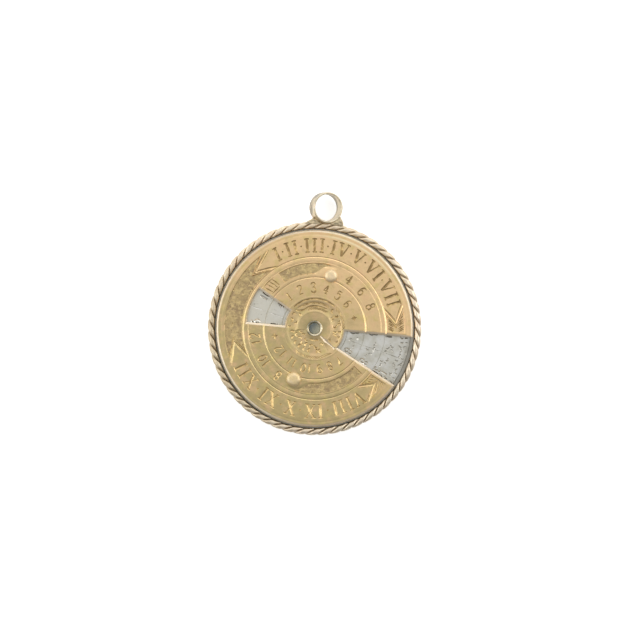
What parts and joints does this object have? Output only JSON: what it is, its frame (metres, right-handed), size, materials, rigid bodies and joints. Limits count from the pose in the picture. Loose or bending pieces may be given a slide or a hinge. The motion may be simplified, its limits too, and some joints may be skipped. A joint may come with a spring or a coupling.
{
  "type": "perpetual calendar fob",
  "caption": "Round calendar fob: a gold plate with a window and a notch turns over a silver dial in a twisted rope border, with another turning plate behind and a bail ring on top.",
  "frame": {"origin": "on the pivot axis, halfway through the silver dial, in the middle of the eyelet's bore", "axes": "+Z leaves the engraved face, +Y points from the pivot to the bail, +X is to the right of the face"},
  "size_m": [0.03, 0.0342, 0.0035],
  "materials": {
    "gold": "worn engraved gold",
    "pale_gold": "worn pale gold",
    "silver": "worn engraved silver",
    "brass": "plain"
  },
  "bodies": {
    "case": {"case_band": "gold", "silver_dial": "silver", "rope_strand_a": "pale_gold", "rope_strand_b": "pale_gold", "bail_ring": "pale_gold", "bail_shoulder_left": "pale_gold", "bail_shoulder_right": "pale_gold", "pivot_eyelet": "pale_gold", "front_washer": "brass", "back_washer": "brass"},
    "front_disc": {"front_plate": "gold", "front_stud_upper": "pale_gold", "front_stud_lower": "pale_gold"},
    "back_disc": {"back_plate": "gold", "back_stud_upper": "pale_gold", "back_stud_lower": "pale_gold"}
  },
  "joints": [
    {"name": "front_turn", "type": "hinge", "parent": "case", "child": "front_disc", "pos_m": [0, 0, 0], "axis": [0, 0, 1], "continuous": true},
    {"name": "back_turn", "type": "hinge", "parent": "case", "child": "back_disc", "pos_m": [0, 0, 0], "axis": [0, 0, 1], "continuous": true}
  ]
}
